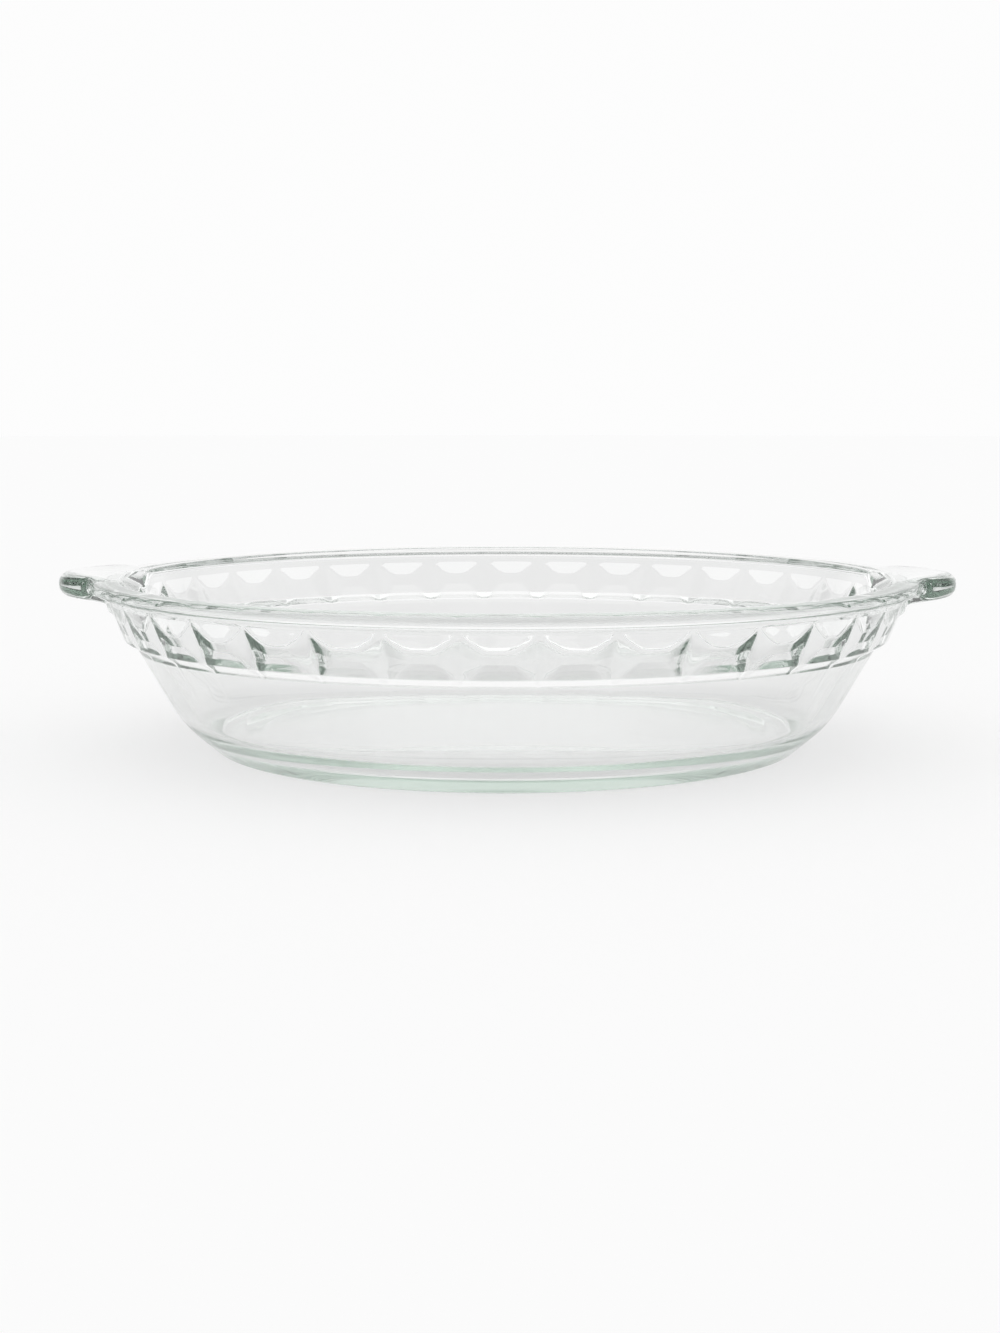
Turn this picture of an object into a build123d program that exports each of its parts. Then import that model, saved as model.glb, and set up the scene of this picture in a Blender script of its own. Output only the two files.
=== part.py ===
from build123d import *
import os
from math import acos, cos, degrees, hypot, radians, sin, sqrt, tan

# Deep pie dish, pressed in one piece from clear glass. Sizes are in millimetres.
# The origin is under the middle of the base, Z points up and the handles lie along X.

# Rim and lip
rim_radius = 124.5
rim_height = 51.0
lip_thickness = 3.4
lip_overhang = 4.4
lip_width = 8.3
lip_edge_radius = 1.5
lip_root_radius = 1.2

# Wall and base
wall_lean = 29.4
wall_thickness = 4.5
base_thickness = 6.0
floor_corner_radius = 16.0
foot_set_in = 5.35
foot_slope = 41.0
foot_blend_radius = 32.0
foot_edge_radius = 1.0
foot_ring_width = 8.0
foot_recess_depth = 0.5
foot_recess_run = 6.0

# Fluted band below the lip: a raised ring outside, and panels between ridges inside
panel_count = 36
panel_height = 12.6
panel_step = 2.3
panel_edge_radius = 0.8
ledge_rise = 1.9
inner_panel_depth = 1.8
inner_panel_top_drop = 0.4
inner_panel_top_run = 5.0
inner_panel_foot_lift = 4.4
inner_panel_foot_run = 5.8
ridge_half_width = 7.0
ridge_set_back = 0.1
ridge_flank_depth = 1.77
ridge_flank_hollow = 0.2
ridge_runout = 1.2

# Handles
handle_reach = 12.0
handle_end_radius = 28.0
handle_root_radius = 14.0
handle_thickness = 7.0
handle_rise = 1.0
handle_embed = 3.0
handle_flat_half_width = 16.0
gusset_half_width = 26.0
gusset_drop = 6.0
gusset_reach = 1.5
gusset_arc_drop = 2.0
gusset_inset = 3.5

# The bowl's cut runs this far past the open face that it starts from
overrun = 2.0

# Heights and radii that follow from the sizes above
lean = radians(wall_lean)
panel_pitch = 360 / panel_count
lip_underside = rim_height - lip_thickness
neck_height = lip_underside - lip_root_radius
neck_radius = rim_radius - lip_overhang
wall_across = wall_thickness / cos(lean)


def wall_radius(height):
    """Outer radius of the leaning wall, whose line carries on behind the panels."""
    return neck_radius - (neck_height - height) * tan(lean)


def inner_wall_radius(height):
    """Radius of the wall's inner face, one wall thickness in from the outer one."""
    return wall_radius(height) - wall_across


# Outer profile: recessed foot, sloping foot edge, wall, ledge, raised ring, neck and lip
foot_radius = wall_radius(0) - foot_set_in
foot_slope_height = foot_set_in / (1 / tan(radians(foot_slope)) - tan(lean))
recess_radius = foot_radius - foot_ring_width
panel_foot_height = neck_height - panel_height
panel_foot_radius = wall_radius(panel_foot_height) + panel_step
ledge_height = panel_foot_height - ledge_rise

with BuildPart() as dish:
    with BuildSketch(Plane.XZ):
        with BuildLine():
            Polyline(
                (0, foot_recess_depth),
                (recess_radius - foot_recess_run, foot_recess_depth),
                (recess_radius, 0),
                (foot_radius, 0),
                (wall_radius(foot_slope_height), foot_slope_height),
                (wall_radius(ledge_height), ledge_height),
                (panel_foot_radius, panel_foot_height),
                (neck_radius, neck_height),
                (neck_radius, lip_underside),
                (rim_radius, lip_underside),
                (rim_radius, rim_height),
                (0, rim_height),
                close=True,
            )
        make_face()
        fillet(vertices().sort_by_distance((neck_radius, lip_underside))[0], lip_root_radius)
        fillet(
            vertices().sort_by_distance((panel_foot_radius, panel_foot_height))[0],
            panel_edge_radius,
        )
        fillet(
            vertices().sort_by_distance((wall_radius(foot_slope_height), foot_slope_height))[0],
            foot_blend_radius,
        )
        fillet(vertices().sort_by_distance((foot_radius, 0))[0], foot_edge_radius)
        fillet(vertices().group_by(Axis.X)[-1], lip_edge_radius)
    revolve(axis=Axis.Z)

# Inner profile of a panel, set back behind the wall's inner face
panel_top = neck_height - inner_panel_top_drop
panel_upper_edge = panel_top - inner_panel_top_run
panel_lower_edge = panel_foot_height + inner_panel_foot_lift
panel_bottom = panel_lower_edge - inner_panel_foot_run

# Ridge between two panels: a low roof with hollow flanks, its crest at the wall's inner face
ridge_middle_height = (panel_top + panel_bottom) / 2
ridge_length = (panel_top - panel_bottom) / cos(lean) + 2 * ridge_runout
ridge_back = ridge_set_back + ridge_flank_depth
ridge_flank_middle = ridge_set_back + ridge_flank_depth / 2 + ridge_flank_hollow
ridge_plane = Plane(
    origin=(inner_wall_radius(ridge_middle_height), 0, ridge_middle_height),
    x_dir=(0, 1, 0),
    z_dir=(sin(lean), 0, cos(lean)),
)

with BuildPart() as ridge:
    with BuildSketch(ridge_plane):
        with BuildLine():
            for side in (-1, 1):
                ThreePointArc(
                    (0, -ridge_set_back),
                    (side * ridge_half_width / 2, -ridge_flank_middle),
                    (side * ridge_half_width, -ridge_back),
                )
            Line((-ridge_half_width, -ridge_back), (ridge_half_width, -ridge_back))
        make_face()
    extrude(amount=ridge_length / 2, both=True)

# Bowl space: flat floor, rounded corner, wall, panels with ridges between them and mouth
inner_edge_radius = rim_radius - lip_width

with BuildPart() as bowl:
    with BuildSketch(Plane.XZ):
        with BuildLine():
            Polyline(
                (0, base_thickness),
                (inner_wall_radius(base_thickness), base_thickness),
                (inner_wall_radius(panel_bottom), panel_bottom),
                (inner_wall_radius(panel_lower_edge) + inner_panel_depth, panel_lower_edge),
                (inner_wall_radius(panel_upper_edge) + inner_panel_depth, panel_upper_edge),
                (inner_wall_radius(panel_top), panel_top),
                (inner_edge_radius, rim_height),
                (inner_edge_radius + overrun, rim_height),
                (inner_edge_radius + overrun, rim_height + overrun),
                (0, rim_height + overrun),
                close=True,
            )
        make_face()
        fillet(
            vertices().sort_by_distance((inner_wall_radius(base_thickness), base_thickness))[0],
            floor_corner_radius,
        )
        fillet(
            vertices().sort_by_distance((inner_edge_radius, rim_height))[0],
            lip_edge_radius,
        )
    revolve(axis=Axis.Z)
    with PolarLocations(0, panel_count, start_angle=panel_pitch / 2):
        add(ridge.part, mode=Mode.SUBTRACT)

# Handles: in plan the round end runs into a hollow curve that meets the rim
tip_radius = rim_radius + handle_reach
end_centre = Vector(tip_radius - handle_end_radius, 0)
root_centre_radius = rim_radius + handle_root_radius
centre_distance = handle_end_radius + handle_root_radius
root_angle = acos(
    (end_centre.X**2 + root_centre_radius**2 - centre_distance**2)
    / (2 * end_centre.X * root_centre_radius)
)
root_share = handle_root_radius / centre_distance

root_centre = Vector(root_centre_radius, 0).rotate(Axis.Z, degrees(root_angle))
flank_middle = root_centre + (end_centre - root_centre) * root_share
root_end = Vector(rim_radius, 0).rotate(Axis.Z, degrees(root_angle))
root_inner = Vector(rim_radius - handle_embed, 0).rotate(Axis.Z, degrees(root_angle))
handle_spread = root_end.Y

handle_top = rim_height + handle_rise
handle_underside = handle_top - handle_thickness

with BuildPart() as handles:
    with BuildSketch(Plane.XY.offset(handle_underside)):
        with BuildLine():
            end_arc = ThreePointArc(
                (flank_middle.X, -flank_middle.Y), (tip_radius, 0), flank_middle
            )
            root_arc = TangentArc(flank_middle, root_end, tangent=end_arc % 1)
            root_cut = Line(root_end, root_inner)
            mirror(root_arc, about=Plane.XZ)
            mirror(root_cut, about=Plane.XZ)
            ThreePointArc(
                root_inner, (rim_radius - handle_embed, 0), (root_inner.X, -root_inner.Y)
            )
        make_face()
        mirror(about=Plane.YZ)
    extrude(amount=handle_thickness)
    with BuildSketch(Plane.YZ):
        with BuildLine():
            for face_height, end_height in (
                (handle_top, rim_height),
                (handle_underside, lip_underside),
            ):
                Line((-handle_flat_half_width, face_height), (handle_flat_half_width, face_height))
                for side in (-1, 1):
                    TangentArc(
                        (side * handle_flat_half_width, face_height),
                        (side * handle_spread, end_height),
                        tangent=(side, 0),
                    )
            Line((handle_spread, rim_height), (handle_spread, lip_underside))
            Line((-handle_spread, lip_underside), (-handle_spread, rim_height))
        make_face()
    extrude(amount=tip_radius, both=True, mode=Mode.INTERSECT)
    outer_edges = edges().filter_by(lambda e: hypot((e @ 0.5).X, (e @ 0.5).Y) > rim_radius)
    fillet(outer_edges, lip_edge_radius)

# Hollow curve under each handle, from the panels' faces out to the handle's underside
gusset_foot_height = handle_underside - gusset_drop
panel_slope = (neck_radius - panel_foot_radius) / panel_height
gusset_foot_radius = panel_foot_radius + (gusset_foot_height - panel_foot_height) * panel_slope
gusset_tip_radius = rim_radius + gusset_reach
gusset_back_radius = gusset_foot_radius - wall_thickness / 2
gusset_top = lip_underside + lip_edge_radius

with BuildPart() as gussets:
    with BuildSketch(Plane.XZ):
        with BuildLine():
            TangentArc(
                (gusset_foot_radius, gusset_foot_height),
                (gusset_tip_radius, handle_underside),
                tangent=(panel_slope, 1),
            )
            Polyline(
                (gusset_tip_radius, handle_underside),
                (gusset_tip_radius, gusset_top),
                (gusset_back_radius, gusset_top),
                (gusset_back_radius, gusset_foot_height),
                (gusset_foot_radius, gusset_foot_height),
            )
        make_face()
    revolve(axis=Axis.Z)
    with BuildSketch(Plane.YZ):
        with BuildLine():
            ThreePointArc(
                (-gusset_half_width, lip_underside),
                (0, gusset_foot_height - gusset_arc_drop),
                (gusset_half_width, lip_underside),
            )
            Polyline(
                (gusset_half_width, lip_underside),
                (gusset_half_width, gusset_top),
                (-gusset_half_width, gusset_top),
                (-gusset_half_width, lip_underside),
            )
        make_face()
    extrude(amount=tip_radius, both=True, mode=Mode.INTERSECT)
    with BuildSketch():
        with Locations(end_centre, (-end_centre.X, 0)):
            Circle(handle_end_radius - gusset_inset)
    extrude(amount=handle_top, mode=Mode.INTERSECT)

with dish:
    add(handles.part)
    add(gussets.part)
    add(bowl.part, mode=Mode.SUBTRACT)

dish.part.label = "glass_dish"
os.makedirs("parts", exist_ok=True)
export_step(dish.part, "parts/glass_dish.step")
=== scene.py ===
from math import acos, atan2, cos, hypot, pi, radians, sin, sqrt, tan

import bmesh
import bpy
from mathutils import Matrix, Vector


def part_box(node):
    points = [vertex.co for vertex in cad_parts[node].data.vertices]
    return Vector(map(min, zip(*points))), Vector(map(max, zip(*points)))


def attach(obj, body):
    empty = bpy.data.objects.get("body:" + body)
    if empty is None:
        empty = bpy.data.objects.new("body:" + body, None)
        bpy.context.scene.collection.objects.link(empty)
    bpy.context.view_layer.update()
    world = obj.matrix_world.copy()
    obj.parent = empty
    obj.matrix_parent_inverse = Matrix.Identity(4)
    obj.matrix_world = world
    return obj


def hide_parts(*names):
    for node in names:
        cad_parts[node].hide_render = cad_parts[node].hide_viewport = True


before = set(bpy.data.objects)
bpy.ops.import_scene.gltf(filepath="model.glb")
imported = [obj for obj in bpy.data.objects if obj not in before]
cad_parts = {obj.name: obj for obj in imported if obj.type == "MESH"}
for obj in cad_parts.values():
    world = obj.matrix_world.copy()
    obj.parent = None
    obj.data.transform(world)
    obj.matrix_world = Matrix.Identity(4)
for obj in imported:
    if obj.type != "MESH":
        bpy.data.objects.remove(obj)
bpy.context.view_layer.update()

# Deep pie dish, pressed in one piece from clear glass, on a white studio floor.
# Sizes are in millimetres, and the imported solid's own box leads them.
MM = 0.001
NODE = "glass_dish"
_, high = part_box(NODE)

# Rim, lip and neck
TIP_RADIUS = high.x / MM
RIM_RADIUS = high.y / MM
HANDLE_TOP = high.z / MM
HANDLE_RISE = 1.0
RIM_HEIGHT = HANDLE_TOP - HANDLE_RISE
LIP_THICKNESS = 3.4
LIP_OVERHANG = 4.4
LIP_WIDTH = 8.3
LIP_EDGE = 1.6
LIP_ROOT = 0.9
LIP_OUTER_STRIP = 3.0
LIP_INNER_STRIP = 2.4
MOUTH_EDGE = 1.5
NECK_LENGTH = 1.2
NECK_EDGE = 1.2
LIP_UNDERSIDE = RIM_HEIGHT - LIP_THICKNESS
NECK_RADIUS = RIM_RADIUS - LIP_OVERHANG
NECK_HEIGHT = LIP_UNDERSIDE - NECK_LENGTH
INNER_EDGE_RADIUS = RIM_RADIUS - LIP_WIDTH

# Wall and base, with a shallow recess inside the ring that the dish stands on
LEAN = radians(29.4)
WALL = 4.5
WALL_ACROSS = WALL / cos(LEAN)
FLOOR = 6.0
INNER_CORNER = 16.0
FOOT_RADIUS = 88.6
FOOT_SLOPE = radians(41)
FOOT_BLEND = 32.0
FOOT_EDGE = 2.5
FOOT_RING = 8.0
BASE_RECESS = 0.5
BASE_RECESS_RUN = 6.0
BASE_RECESS_EDGE = 20.0

# Raised ring round the outside of the fluted band, with a ledge below it
RING_HEIGHT = 12.6
RING_STEP = 2.3
RING_EDGE = 1.0
RING_FOOT = NECK_HEIGHT - RING_HEIGHT
LEDGE_RISE = 1.9
LEDGE_EDGE = 1.4
LEDGE_FOOT = RING_FOOT - LEDGE_RISE

# Panels set back in the band's inner face, given by the heights of their bends
PANELS = 36
HALF_PITCH = pi / PANELS
PANEL_DEPTH = 1.8
PANEL_TOP = 46.0
PANEL_UPPER_BEND = 41.0
PANEL_LOWER_BEND = 38.2
PANEL_END = 32.0
PANEL_UPPER_EDGE = 0.8
PANEL_LOWER_EDGE = 0.5
PANEL_END_EDGE = 1.5
FLUTE_MARGIN = 1.0

# Ridges left between the panels: low roofs with hollow sides and a soft crest
RIDGE_SLOPE = 0.33
RIDGE_HOLLOW = 40.0
RIDGE_SET_BACK = 0.1
RIDGE_CREST = 0.5
RIDGE_BLEND = 0.15
LEAST_RIDGE_SHARE = 0.08

# Handles: in plan a round end runs into hollow roots that meet the rim
HANDLE_THICKNESS = 7.0
HANDLE_UNDERSIDE_LIFT = 0.2
HANDLE_END = 28.0
HANDLE_ROOT = 14.0
HANDLE_EDGE = 3.2
HANDLE_BLEND = 3.0

# Hollow curve from the ring up to a handle: each bend's way out, way up and rounding
HOLLOW_FOOT = 40.0
HOLLOW_START = (0.8, 2.0, 2.0)
HOLLOW_END = (4.0, 4.0, 4.0)

# Mesh columns as shares of the way from a ridge's crest to its foot, and on from there to
# the middle of the next panel. Points closer than WELD are joined, and after that the mesh
# has fewer than MOST_VERTICES.
RIDGE_SHARES = (0, 0.22, 0.42, 0.6, 0.76, 0.89, 1)
PANEL_SHARES = (0.05, 0.15, 0.35, 0.6, 0.8, 1)
HALF_COLUMNS = len(RIDGE_SHARES) + len(PANEL_SHARES) - 1
COLUMNS = 2 * HALF_COLUMNS * PANELS
MOST_VERTICES = 100_000
WELD = 0.01

# The photograph's camera, fitted to the rim, base and panel edges
PHOTO_HEIGHT = 1333
FOCAL_PIXELS = 2018
SENSOR = 36
CAMERA_PLACE = Vector((9.2, -614.9, 102.7)) * MM
CAMERA_PITCH = radians(7.43)
CAMERA_YAW = radians(1.03)
CLIP_NEAR, CLIP_FAR = 0.01, 50

# Floor: half its width in metres, and the film of air between it and the dish
FLOOR_REACH = 6.0
FLOOR_SIDES = 96
AIR_FILM = 0.1

# Levels of light, where 1 is white. The background is what the camera sees past the dish.
BACKGROUND = 0.98
WALL_LEVEL = 1.0
SHADE_LEVEL = 0.16
SOFT_BOX_LEVEL = 1.15
FLOOR_LIGHT = 1.03
PAPER_COLOUR = 0.95
PAPER_GLOW = 0.82
PAPER_GLOW_SHARE = 0.5
BOUNCES = 40

# Parts of the room, by the way that a ray points: where each part starts and where it is full
ROOM_PARTS = (
    ("behind_camera", "ahead", 0.1, -0.4),
    ("over_table", "up", 0.02, 0.2),
    ("far_aside", "aside", 0.62, 0.8),
    ("low_down", "up", 0.35, 0.2),
    ("high_up", "up", 0.22, 0.36),
    ("overhead", "up", 0.8, 0.9),
)

# Pale and grey screens high on the walls: how far aside each one is, and its level
SCREENS = ((0.05, 0.84), (0.17, 1.22), (0.3, 0.8), (0.5, 0.62))


def linear(hex_colour):
    """An sRGB hex colour as the linear RGBA that a shader takes."""
    parts = [int(hex_colour[i:i + 2], 16) / 255 for i in (1, 3, 5)]
    return [p / 12.92 if p <= 0.04045 else ((p + 0.055) / 1.055) ** 2.4 for p in parts] + [1]


def add_node(owner, kind, links=(), **settings):
    """Adds a node to a material or world with its settings, and links or sets its inputs."""
    node = owner.node_tree.nodes.new(kind)
    for name, value in settings.items():
        if hasattr(node, name):
            setattr(node, name, value)
        else:
            node.inputs[name.replace("_", " ")].default_value = value
    for name, source in links:
        if isinstance(source, (int, float)):
            node.inputs[name].default_value = source
        else:
            owner.node_tree.links.new(source, node.inputs[name])
    return node


def start_nodes(owner):
    """Gives a new material or world an empty node tree."""
    owner.use_nodes = True
    owner.node_tree.nodes.clear()
    return owner


def wall_radius(height):
    """Outer radius of the leaning wall, carried on behind the raised ring."""
    return NECK_RADIUS - (NECK_HEIGHT - height) * tan(LEAN)


def inner_wall_radius(height):
    """Radius of the wall's inner face."""
    return wall_radius(height) - WALL_ACROSS


def rounded(corners):
    """Points of a profile. Each corner is radius, height, rounding, steps in its arc, steps on."""
    points = []
    places = [Vector(corner[:2]) for corner in corners]
    ends = []
    for i, (_, _, rounding, steps, _) in enumerate(corners):
        here = places[i]
        if not rounding:
            ends.append([here])
            continue
        to_last = (places[i - 1] - here).normalized()
        to_next = (places[i + 1] - here).normalized()
        half = acos(max(-1, min(1, to_last.dot(to_next)))) / 2
        middle = here + (to_last + to_next).normalized() * rounding / sin(half)
        first = here + to_last * rounding / tan(half) - middle
        last = here + to_next * rounding / tan(half) - middle
        turn = atan2(first.x * last.y - first.y * last.x, first.dot(last))
        arc = []
        for k in range(steps + 1):
            a = turn * k / steps
            arc.append(middle + Vector((
                first.x * cos(a) - first.y * sin(a), first.x * sin(a) + first.y * cos(a))))
        ends.append(arc)
    for i, arc in enumerate(ends):
        points += arc
        if i + 1 < len(ends):
            steps = corners[i][4]
            points += [arc[-1].lerp(ends[i + 1][0], k / steps) for k in range(1, steps)]
    return points


def profiles():
    """The dish's section through a panel's middle, and the same points at a handle's middle."""
    ring_radius = wall_radius(RING_FOOT) + RING_STEP
    ring_slope = (NECK_RADIUS - ring_radius) / RING_HEIGHT
    hollow_radius = ring_radius + (HOLLOW_FOOT - RING_FOOT) * ring_slope
    recess_radius = FOOT_RADIUS - FOOT_RING
    bevel_height = (wall_radius(0) - FOOT_RADIUS) / (1 / tan(FOOT_SLOPE) - tan(LEAN))
    handle_underside = HANDLE_TOP - HANDLE_THICKNESS + HANDLE_UNDERSIDE_LIFT
    upper_bend = inner_wall_radius(PANEL_UPPER_BEND) + PANEL_DEPTH
    lower_bend = inner_wall_radius(PANEL_LOWER_BEND) + PANEL_DEPTH
    inner_strip = INNER_EDGE_RADIUS + LIP_INNER_STRIP
    below = [
        (0, BASE_RECESS, 0, 0, 3),
        (recess_radius - BASE_RECESS_RUN, BASE_RECESS, BASE_RECESS_EDGE, 3, 2),
        (recess_radius, 0, BASE_RECESS_EDGE, 3, 2),
        (FOOT_RADIUS, 0, FOOT_EDGE, 4, 2),
        (wall_radius(bevel_height), bevel_height, FOOT_BLEND, 8, 3),
        (wall_radius(LEDGE_FOOT), LEDGE_FOOT, LEDGE_EDGE, 3, 1),
        (ring_radius, RING_FOOT, RING_EDGE, 4, 4),
        (hollow_radius, HOLLOW_FOOT, 0, 0, 4),
    ]
    plain = [
        (NECK_RADIUS, NECK_HEIGHT, NECK_EDGE, 3, 1),
        (NECK_RADIUS, LIP_UNDERSIDE, LIP_ROOT, 3, 2),
        (RIM_RADIUS, LIP_UNDERSIDE, LIP_EDGE, 4, 1),
        (RIM_RADIUS, RIM_HEIGHT, LIP_EDGE, 4, 2),
        (RIM_RADIUS - LIP_OUTER_STRIP, RIM_HEIGHT, 0, 0, 4),
        (inner_strip, RIM_HEIGHT, 0, 0, 1),
    ]
    hollow_start, hollow_end = (
        (hollow_radius + out, HOLLOW_FOOT + up, rounding)
        for out, up, rounding in (HOLLOW_START, HOLLOW_END))
    handle = [
        (*hollow_start, 3, 1),
        (*hollow_end, 3, 2),
        (TIP_RADIUS, handle_underside, HANDLE_EDGE, 4, 1),
        (TIP_RADIUS, HANDLE_TOP, HANDLE_EDGE, 4, 2),
        (RIM_RADIUS + HANDLE_BLEND, HANDLE_TOP, 0, 0, 4),
        (inner_strip, RIM_HEIGHT, 0, 0, 1),
    ]
    inside = [
        (INNER_EDGE_RADIUS, RIM_HEIGHT, MOUTH_EDGE, 4, 1),
        (inner_wall_radius(PANEL_TOP), PANEL_TOP, PANEL_UPPER_EDGE, 2, 5),
        (upper_bend, PANEL_UPPER_BEND, PANEL_UPPER_EDGE, 2, 4),
        (lower_bend, PANEL_LOWER_BEND, PANEL_LOWER_EDGE, 3, 2),
        (inner_wall_radius(PANEL_END), PANEL_END, PANEL_END_EDGE, 3, 3),
        (inner_wall_radius(FLOOR), FLOOR, INNER_CORNER, 12, 3),
        (0, FLOOR, 0, 0, 1),
    ]
    return rounded(below + plain + inside), rounded(below + handle + inside)


def panel_depth(height):
    """How far the panels are pressed back behind the inner wall's own line."""
    below = (height - PANEL_END) / (PANEL_LOWER_BEND - PANEL_END)
    above = (PANEL_TOP - height) / (PANEL_TOP - PANEL_UPPER_BEND)
    return PANEL_DEPTH * max(0, min(1, below, above))


def ridge_share(height):
    """Half the width of the ridge between two panels, as a share of half the panel pitch."""
    depth = max(0, panel_depth(height) * cos(LEAN) - RIDGE_SET_BACK)
    root = sqrt(max(0, RIDGE_SLOPE**2 - 2 * depth / RIDGE_HOLLOW))
    width = RIDGE_HOLLOW * (RIDGE_SLOPE - root)
    return max(LEAST_RIDGE_SHARE, width / (HALF_PITCH * inner_wall_radius(height)))


def press_ridge(radius, height, share):
    """Radius of the inner wall where a low roof of a ridge stands between two panels."""
    crest = inner_wall_radius(height)
    across = hypot(share * HALF_PITCH * crest, RIDGE_CREST) - RIDGE_CREST
    across = min(across, RIDGE_HOLLOW * RIDGE_SLOPE)
    fall = RIDGE_SET_BACK + RIDGE_SLOPE * across - across**2 / (2 * RIDGE_HOLLOW)
    roof = crest + fall / cos(LEAN)
    return (radius + roof - hypot(radius - roof, RIDGE_BLEND)) / 2


def handle_amounts(angle):
    """How far a handle draws the rim out at an angle, and how far it thickens it, 0 to 1."""
    turn = abs(atan2(sin(angle), abs(cos(angle))))
    end_middle = TIP_RADIUS - HANDLE_END
    root_middle = RIM_RADIUS + HANDLE_ROOT
    apart = HANDLE_END + HANDLE_ROOT
    root_turn = acos((end_middle**2 + root_middle**2 - apart**2) / (2 * end_middle * root_middle))
    root = root_middle * Vector((cos(root_turn), sin(root_turn)))
    meet = root.lerp(Vector((end_middle, 0)), HANDLE_ROOT / apart)
    meet_turn = atan2(meet.y, meet.x)
    if turn >= root_turn:
        return 0, 0
    if turn <= meet_turn:
        edge = end_middle * cos(turn) + sqrt(HANDLE_END**2 - (end_middle * sin(turn))**2)
    else:
        edge = (root_middle * cos(root_turn - turn)
                - sqrt(HANDLE_ROOT**2 - (root_middle * sin(root_turn - turn))**2))
    thicker = min(1, (root_turn - turn) / (root_turn - meet_turn))
    return (edge - RIM_RADIUS) / (TIP_RADIUS - RIM_RADIUS), thicker**2 * (3 - 2 * thicker)


def column_place(column, height):
    """A mesh column's angle, and its share of the way from the crest to the panel's middle."""
    ridge, station = divmod(column + HALF_COLUMNS, 2 * HALF_COLUMNS)
    station -= HALF_COLUMNS
    width = ridge_share(height)
    step = abs(station)
    if step < len(RIDGE_SHARES):
        share = RIDGE_SHARES[step] * width
    else:
        share = width + (1 - width) * PANEL_SHARES[step - len(RIDGE_SHARES)]
    side = share if station > 0 else -share
    return (2 * ridge + 1) * HALF_PITCH + side * HALF_PITCH, share


def face_order(face):
    """Number for a face, led by its vertices, that sorts the faces alike on each run."""
    first, second, third = sorted(vertex.index for vertex in face.verts)[:3]
    return (first * MOST_VERTICES + second) * MOST_VERTICES + third


def pressed_glass_dish():
    """Spins the plain section into columns, then presses the flutes and draws out the handles."""
    plain, handle = profiles()
    bm = bmesh.new()
    row_of = bm.verts.layers.int.new("row")
    line = []
    for row, point in enumerate(plain):
        vertex = bm.verts.new((point.x * MM, 0, point.y * MM))
        vertex[row_of] = row
        line.append(vertex)
    edges = [bm.edges.new(pair) for pair in zip(line, line[1:])]
    bmesh.ops.spin(bm, geom=line + edges, cent=(0, 0, 0), axis=(0, 0, 1),
                   angle=2 * HALF_PITCH, steps=2 * HALF_COLUMNS)
    sector = bm.verts[:] + bm.edges[:] + bm.faces[:]
    bmesh.ops.spin(bm, geom=sector, cent=(0, 0, 0), axis=(0, 0, 1),
                   angle=2 * pi - 2 * HALF_PITCH, steps=PANELS - 1, use_duplicate=True)
    top_row = max(range(len(plain)), key=lambda i: (plain[i].y, -plain[i].x))
    for vertex in bm.verts:
        row = vertex[row_of]
        section, drawn = plain[row], handle[row]
        column = round(atan2(vertex.co.y, vertex.co.x) / (2 * pi) * COLUMNS)
        angle, share = column_place(column, section.y)
        amount, thicker = handle_amounts(angle)
        radius = section.x
        if row > top_row and PANEL_END - FLUTE_MARGIN < section.y < PANEL_TOP + FLUTE_MARGIN:
            radius = press_ridge(section.x, section.y, share)
        radius += (drawn.x - section.x) * amount
        height = section.y + (drawn.y - section.y) * thicker
        vertex.co = (radius * cos(angle) * MM, radius * sin(angle) * MM, height * MM)
    bmesh.ops.remove_doubles(bm, verts=bm.verts, dist=WELD * MM)
    bmesh.ops.recalc_face_normals(bm, faces=bm.faces)
    bm.verts.index_update()
    bm.faces.sort(key=face_order)
    for face in bm.faces:
        face.smooth = True
    mesh = bpy.data.meshes.new("pressed_glass_dish")
    bm.to_mesh(mesh)
    bm.free()
    dish = bpy.data.objects.new("pressed_glass_dish", mesh)
    bpy.context.scene.collection.objects.link(dish)
    return dish


def clear_pressed_glass():
    """Soda-lime glass, pressed and fire polished: mirror smooth, and as clear as water across
    the wall. Its faint tint shows green only along the base, the lip and the handles, where
    the eye looks through several centimetres of glass.
    """
    material = start_nodes(bpy.data.materials.new("clear_pressed_glass"))
    glass = add_node(material, "ShaderNodeBsdfPrincipled", Base_Color=(1, 1, 1, 1),
                     Roughness=0.0, IOR=1.48, Transmission_Weight=1.0)
    tint = add_node(material, "ShaderNodeVolumeAbsorption", Color=linear("#aecbb9"), Density=4.2)
    add_node(material, "ShaderNodeOutputMaterial",
             [("Surface", glass.outputs[0]), ("Volume", tint.outputs[0])])
    return material


def white_paper():
    """Matt studio paper. Half of its white is a glow of its own, which keeps the shadow pale,
    and the camera sees that glow at the background's level, so that no edge shows.
    """
    paper = start_nodes(bpy.data.materials.new("white_paper"))
    path = add_node(paper, "ShaderNodeLightPath")
    matt = add_node(paper, "ShaderNodeBsdfDiffuse",
                    Color=(PAPER_COLOUR, PAPER_COLOUR, PAPER_COLOUR, 1))
    level = add_node(paper, "ShaderNodeMath",
                     [(0, path.outputs["Is Camera Ray"]), (1, BACKGROUND - PAPER_GLOW),
                      (2, PAPER_GLOW)], operation="MULTIPLY_ADD")
    glow = add_node(paper, "ShaderNodeEmission", [("Strength", level.outputs[0])],
                    Color=(1, 1, 1, 1))
    share = add_node(paper, "ShaderNodeMath",
                     [(0, path.outputs["Is Diffuse Ray"]), (1, -PAPER_GLOW_SHARE),
                      (2, PAPER_GLOW_SHARE)], operation="MULTIPLY_ADD")
    both = add_node(paper, "ShaderNodeMixShader",
                    [("Fac", share.outputs[0]), (1, matt.outputs[0]), (2, glow.outputs[0])])
    add_node(paper, "ShaderNodeOutputMaterial", [("Surface", both.outputs[0])])
    return paper


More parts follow.
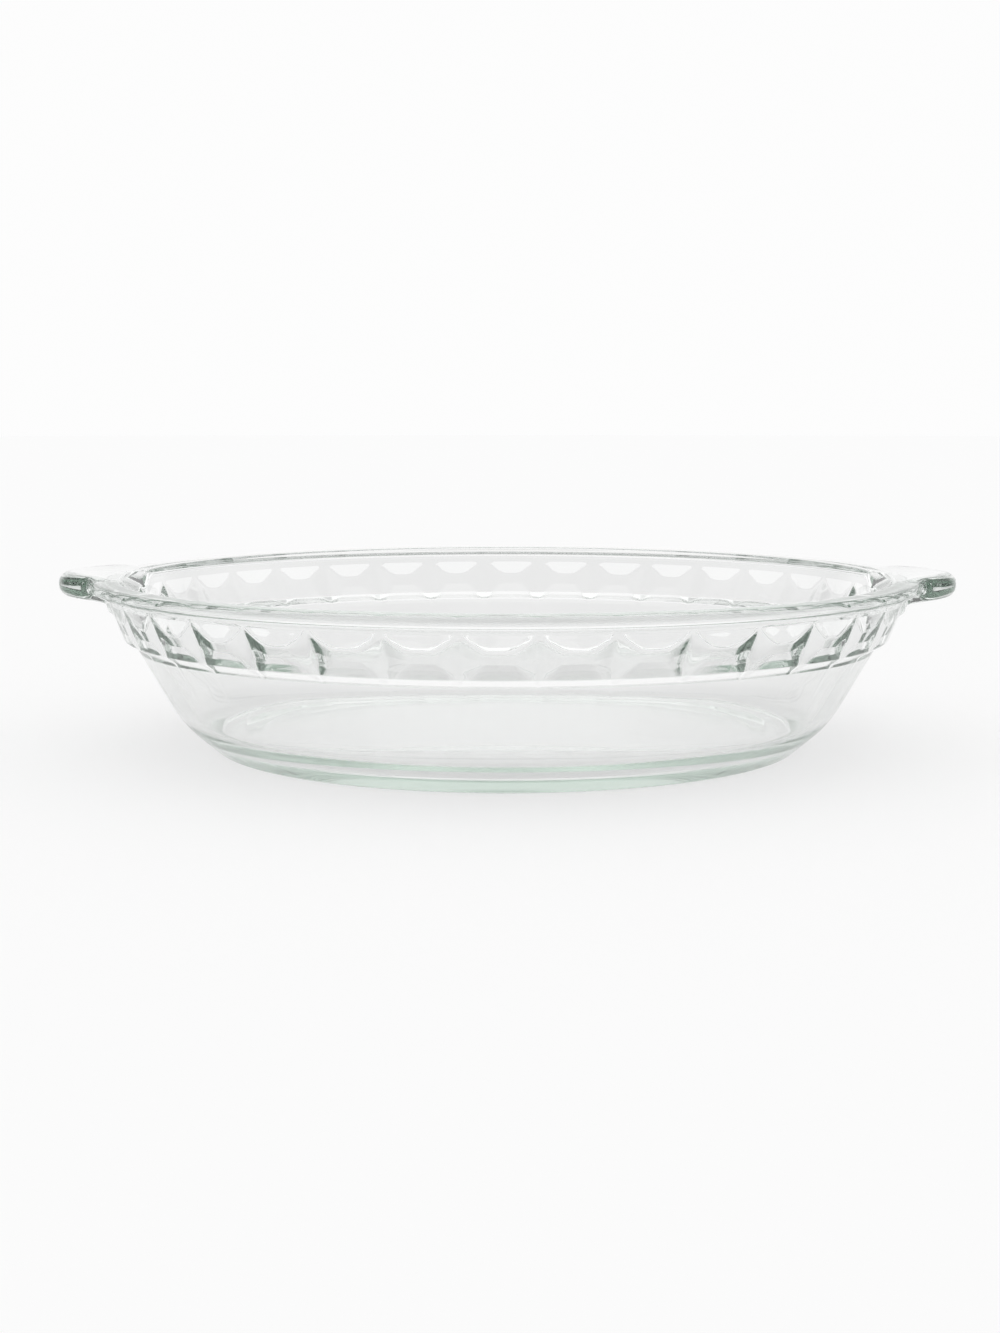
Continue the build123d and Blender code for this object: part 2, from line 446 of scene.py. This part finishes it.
def room_level(world):
    """Level of the room that shows in the glass: pale walls down to the table, dark behind the
    camera and low at both sides, with screens higher up and a soft box overhead.
    """
    coordinates = add_node(world, "ShaderNodeTexCoord")
    way = add_node(world, "ShaderNodeSeparateXYZ", [("Vector", coordinates.outputs["Generated"])])
    aside = add_node(world, "ShaderNodeMath", [(0, way.outputs["X"])], operation="ABSOLUTE")
    ways = {"aside": aside.outputs[0], "ahead": way.outputs["Y"], "up": way.outputs["Z"]}
    part = {}
    for name, along, start, full in ROOM_PARTS:
        reach = add_node(world, "ShaderNodeMapRange", [("Value", ways[along])],
                         From_Min=start, From_Max=full)
        part[name] = reach.outputs[0]
    dark_front = add_node(world, "ShaderNodeMath",
                          [(0, part["behind_camera"]), (1, part["over_table"])],
                          operation="MULTIPLY")
    dark_sides = add_node(world, "ShaderNodeMath", [(0, part["far_aside"]), (1, part["low_down"])],
                          operation="MULTIPLY")
    dark = add_node(world, "ShaderNodeMath",
                    [(0, dark_front.outputs[0]), (1, dark_sides.outputs[0])], operation="MAXIMUM")
    room = add_node(world, "ShaderNodeMix", [("Factor", dark.outputs[0])], data_type="FLOAT",
                    A=WALL_LEVEL, B=SHADE_LEVEL)
    bands = add_node(world, "ShaderNodeValToRGB", [("Fac", aside.outputs[0])])
    stops = bands.color_ramp.elements
    stops[0].position, stops[1].position = SCREENS[0][0], SCREENS[-1][0]
    for place, _ in SCREENS[1:-1]:
        stops.new(place)
    for stop, (_, level) in zip(stops, SCREENS):
        stop.color = (level, level, level, 1)
    screens = add_node(world, "ShaderNodeMix",
                       [("Factor", part["high_up"]), ("B", bands.outputs[0])],
                       data_type="FLOAT", A=1.0)
    walls = add_node(world, "ShaderNodeMath", [(0, room.outputs[0]), (1, screens.outputs[0])],
                     operation="MULTIPLY")
    whole = add_node(world, "ShaderNodeMix",
                     [("Factor", part["overhead"]), ("A", walls.outputs[0])],
                     data_type="FLOAT", B=SOFT_BOX_LEVEL)
    return whole.outputs[0]


def photographs_camera(scene):
    """Stands the camera where the photograph was taken from."""
    data = bpy.data.cameras.new("camera")
    data.sensor_width = SENSOR
    data.lens = FOCAL_PIXELS / PHOTO_HEIGHT * data.sensor_width
    data.clip_start, data.clip_end = CLIP_NEAR, CLIP_FAR
    camera = bpy.data.objects.new("camera", data)
    camera.location = CAMERA_PLACE
    camera.rotation_euler = (pi / 2 - CAMERA_PITCH, 0, CAMERA_YAW)
    scene.collection.objects.link(camera)
    scene.camera = camera


def studio_light(scene):
    """Lights the studio: the room for the glass, an even light for the floor, and a plain
    white background for the camera.
    """
    scene.view_settings.view_transform = "Standard"
    scene.cycles.max_bounces = BOUNCES
    scene.cycles.glossy_bounces = BOUNCES
    scene.cycles.transmission_bounces = BOUNCES
    world = start_nodes(bpy.data.worlds.new("studio"))
    scene.world = world
    path = add_node(world, "ShaderNodeLightPath")
    room = add_node(world, "ShaderNodeBackground", [("Strength", room_level(world))],
                    Color=(1, 1, 1, 1))
    even = add_node(world, "ShaderNodeBackground", Color=(1, 1, 1, 1), Strength=FLOOR_LIGHT)
    plain = add_node(world, "ShaderNodeBackground",
                     Color=(BACKGROUND, BACKGROUND, BACKGROUND, 1), Strength=1.0)
    from_floor = add_node(world, "ShaderNodeMath", [(0, path.outputs["Diffuse Depth"]), (1, 1)],
                          operation="MINIMUM")
    light = add_node(world, "ShaderNodeMixShader",
                     [("Fac", from_floor.outputs[0]), (1, room.outputs[0]), (2, even.outputs[0])])
    seen = add_node(world, "ShaderNodeMixShader",
                    [("Fac", path.outputs["Is Camera Ray"]), (1, light.outputs[0]),
                     (2, plain.outputs[0])])
    add_node(world, "ShaderNodeOutputWorld", [("Surface", seen.outputs[0])])


def studio_floor(scene):
    """Lays the paper, a film of air below the dish, so that the glass keeps its own underside."""
    bm = bmesh.new()
    bmesh.ops.create_circle(bm, cap_ends=True, radius=FLOOR_REACH, segments=FLOOR_SIDES)
    mesh = bpy.data.meshes.new("floor")
    bm.to_mesh(mesh)
    bm.free()
    mesh.materials.append(white_paper())
    floor = bpy.data.objects.new("floor", mesh)
    floor.location.z = -AIR_FILM * MM
    scene.collection.objects.link(floor)


photographs_camera(bpy.context.scene)
studio_light(bpy.context.scene)
studio_floor(bpy.context.scene)
dish = pressed_glass_dish()
dish.data.materials.append(clear_pressed_glass())
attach(dish, "root")
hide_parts(NODE)
